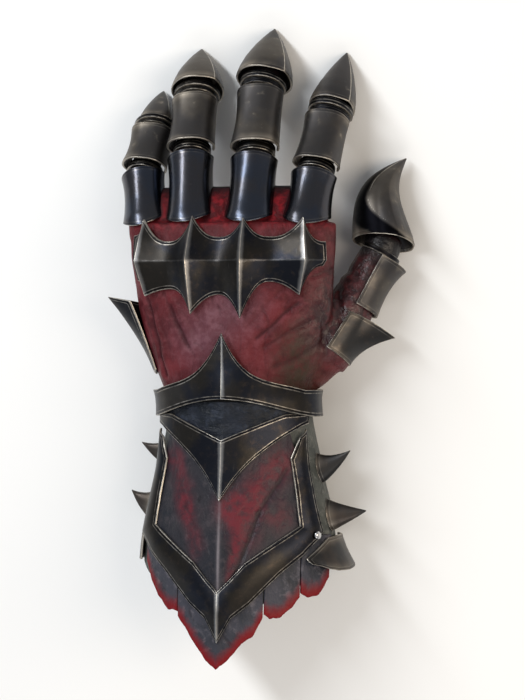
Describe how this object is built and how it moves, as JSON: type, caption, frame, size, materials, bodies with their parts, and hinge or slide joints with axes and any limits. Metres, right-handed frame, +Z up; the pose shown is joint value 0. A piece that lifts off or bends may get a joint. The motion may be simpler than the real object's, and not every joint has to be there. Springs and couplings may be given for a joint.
{
  "type": "armoured gauntlet",
  "caption": "Left-hand plate gauntlet: clawed steel fingers, ridged knuckle plate, red leather glove and a plated leather cuff with thorns and a ragged skirt.",
  "frame": {"origin": "on the surface it lies on, under the middle of its bounding box", "axes": "+X to the thumb side, +Y along the fingers, +Z up out of the back of the hand"},
  "size_m": [0.1816, 0.3858, 0.0947],
  "materials": {
    "black_steel": "blackened steel, edges worn bright",
    "worn_steel": "blackened steel worn grey-brown",
    "polished_steel": "polished black steel",
    "silver": "bare polished steel",
    "red_leather": "dusty crimson leather, creased",
    "dark_leather": "dark brown-red glossy leather",
    "navy_leather": "navy-black wrinkled leather",
    "slate_leather": "slate leather with red borders",
    "cuff_leather": "worn grey-green leather"
  },
  "bodies": {
    "root": {"glove_pinky": "red_leather", "pinky_base_plate": "polished_steel", "pinky_joint_ring": "black_steel", "pinky_middle_plate": "worn_steel", "pinky_tip_ring_1": "black_steel", "pinky_tip_ring_2": "black_steel", "pinky_claw": "worn_steel", "glove_ring": "red_leather", "ring_base_plate": "polished_steel", "ring_joint_ring": "black_steel", "ring_middle_plate": "worn_steel", "ring_tip_ring_1": "black_steel", "ring_tip_ring_2": "black_steel", "ring_claw": "worn_steel", "glove_middle": "red_leather", "middle_base_plate": "polished_steel", "middle_joint_ring": "black_steel", "middle_middle_plate": "worn_steel", "middle_tip_ring_1": "black_steel", "middle_tip_ring_2": "black_steel", "middle_claw": "worn_steel", "glove_index": "red_leather", "index_base_plate": "polished_steel", "index_joint_ring": "black_steel", "index_middle_plate": "worn_steel", "index_tip_ring_1": "black_steel", "index_tip_ring_2": "black_steel", "index_claw": "worn_steel", "glove_hand": "red_leather", "glove_thumb": "dark_leather", "thumb_ring": "black_steel", "thumb_middle_plate": "worn_steel", "thumb_base_plate": "black_steel", "thumb_claw": "worn_steel", "knuckle_plate": "black_steel", "hand_fin": "black_steel", "wrist_band": "black_steel", "chevron_plate": "black_steel", "forearm_frame": "black_steel", "side_flare_right": "black_steel", "side_flare_left": "black_steel", "cuff_thorn_1": "black_steel", "cuff_thorn_2": "black_steel", "cuff_thorn_3": "black_steel", "cuff_thorn_4": "black_steel", "frame_rivet": "silver", "wrist_gusset": "navy_leather", "forearm_panel": "slate_leather", "forearm_cuff": "cuff_leather", "skirt_main": "slate_leather", "skirt_petal_1": "slate_leather", "skirt_petal_2": "slate_leather", "skirt_left": "slate_leather"}
  },
  "joints": []
}
